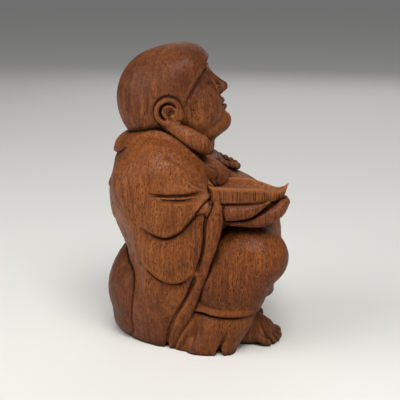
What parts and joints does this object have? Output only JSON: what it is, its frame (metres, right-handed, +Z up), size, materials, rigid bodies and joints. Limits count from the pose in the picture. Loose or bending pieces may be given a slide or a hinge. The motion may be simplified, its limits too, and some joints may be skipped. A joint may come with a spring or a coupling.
{
  "type": "buddha statue",
  "caption": "Carved wooden seated monk in an open robe, head tilted up, a shallow bowl on one palm and a sack behind; stands on a flat underside as a small altar or shelf figure.",
  "frame": {"origin": "on the ground plane, under the middle of the figure's bounding box", "axes": "+Z up, the figure faces -Y, its right side is at -X"},
  "size_m": [0.127, 0.1228, 0.1995],
  "materials": {
    "figure_wood": "satin wax over tooled hardwood",
    "robe_wood": "satin wax over tooled hardwood",
    "trouser_wood": "satin wax over tooled hardwood",
    "sack_wood": "satin wax over tooled hardwood",
    "bowl_wood": "satin wax over tooled hardwood",
    "beads_wood": "satin wax over tooled hardwood"
  },
  "bodies": {
    "root": {"head": "figure_wood", "right_ear": "figure_wood", "left_ear": "figure_wood", "torso": "figure_wood", "right_hand": "figure_wood", "left_hand": "figure_wood", "right_foot": "figure_wood", "left_foot": "figure_wood", "robe_back": "robe_wood", "collar_back": "robe_wood", "right_lapel": "robe_wood", "left_lapel": "robe_wood", "right_sleeve": "robe_wood", "left_sleeve": "robe_wood", "right_sleeve_fall": "robe_wood", "left_sleeve_fall": "robe_wood", "right_sleeve_hem": "robe_wood", "left_sleeve_hem": "robe_wood", "right_trouser_leg": "trouser_wood", "left_trouser_leg": "trouser_wood", "right_trouser_hem": "trouser_wood", "left_trouser_hem": "trouser_wood", "waistband": "trouser_wood", "seat": "trouser_wood", "sack": "sack_wood", "sack_tie": "sack_wood", "offering_bowl": "bowl_wood", "prayer_beads": "beads_wood"}
  },
  "joints": []
}
